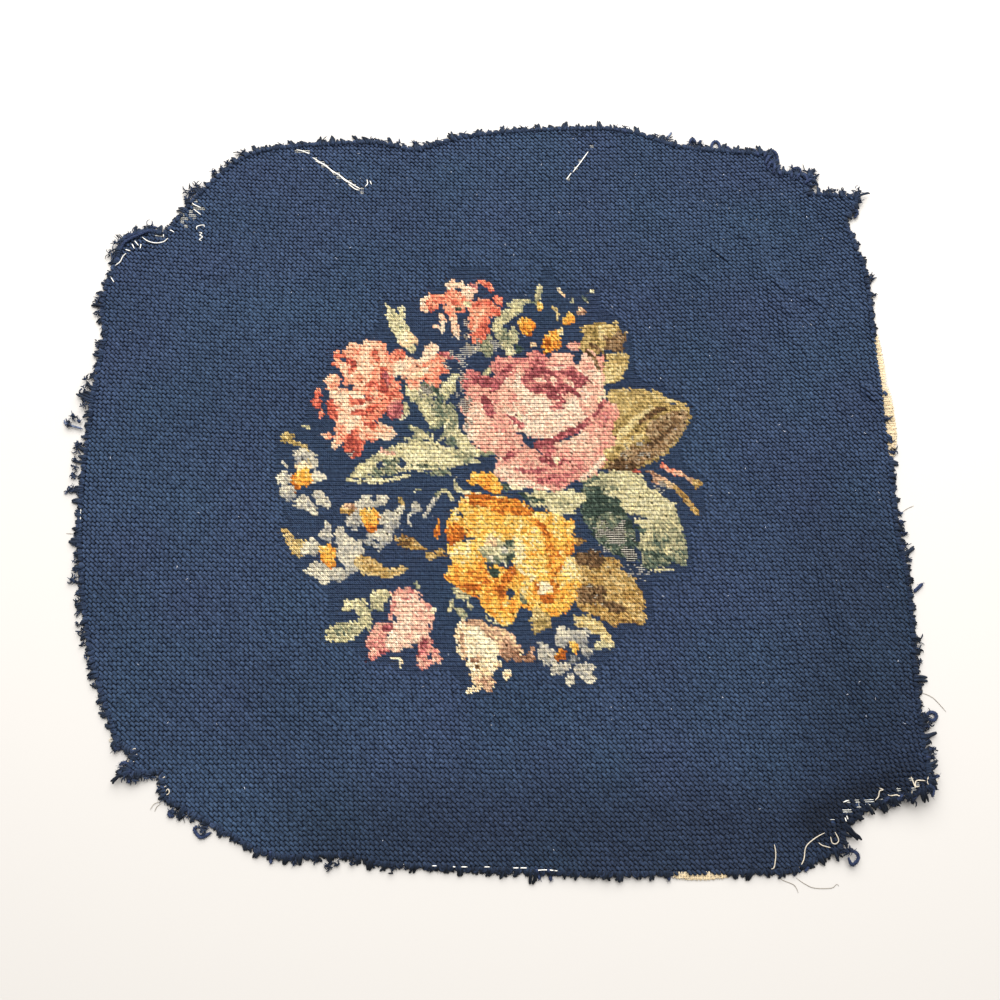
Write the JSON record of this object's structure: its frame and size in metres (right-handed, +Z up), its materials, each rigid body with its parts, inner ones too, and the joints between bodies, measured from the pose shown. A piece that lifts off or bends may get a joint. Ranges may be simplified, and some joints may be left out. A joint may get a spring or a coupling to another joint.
{
  "type": "needlepoint canvas panel",
  "caption": "Flat needlepoint canvas with a navy wool ground, a flower bouquet in the middle, cut-away corners and raw frayed edges, as taken off a chair seat.",
  "frame": {"origin": "on the surface that the panel lies on, under the middle of its outline", "axes": "+Z up out of the stitched face, +X to the panel's right, +Y to its top as the bouquet stands"},
  "size_m": [0.4988, 0.4616, 0.008],
  "materials": {
    "wool_ground": "matte navy wool yarn in slanted stitches",
    "wool_bouquet": "matte wool yarn in faded flower colours",
    "canvas_thread": "unbleached cotton thread"
  },
  "bodies": {
    "root": {"canvas_panel": "wool_ground", "fray_top_left": "wool_ground", "fray_top_right": "wool_ground", "fray_corner_top_right": "wool_ground", "fray_right_upper": "wool_ground", "thread_fringe_right_upper": "canvas_thread", "thread_fringe_right_lower": "canvas_thread", "fray_right_lower": "wool_ground", "fray_corner_bottom_right": "wool_ground", "fray_bottom_right": "wool_ground", "thread_fringe_bottom": "canvas_thread", "fray_bottom_middle": "wool_ground", "fray_bottom_left": "wool_ground", "fray_corner_bottom_left": "wool_ground", "fray_left_lower": "wool_ground", "fray_left_upper": "wool_ground"}
  },
  "joints": []
}
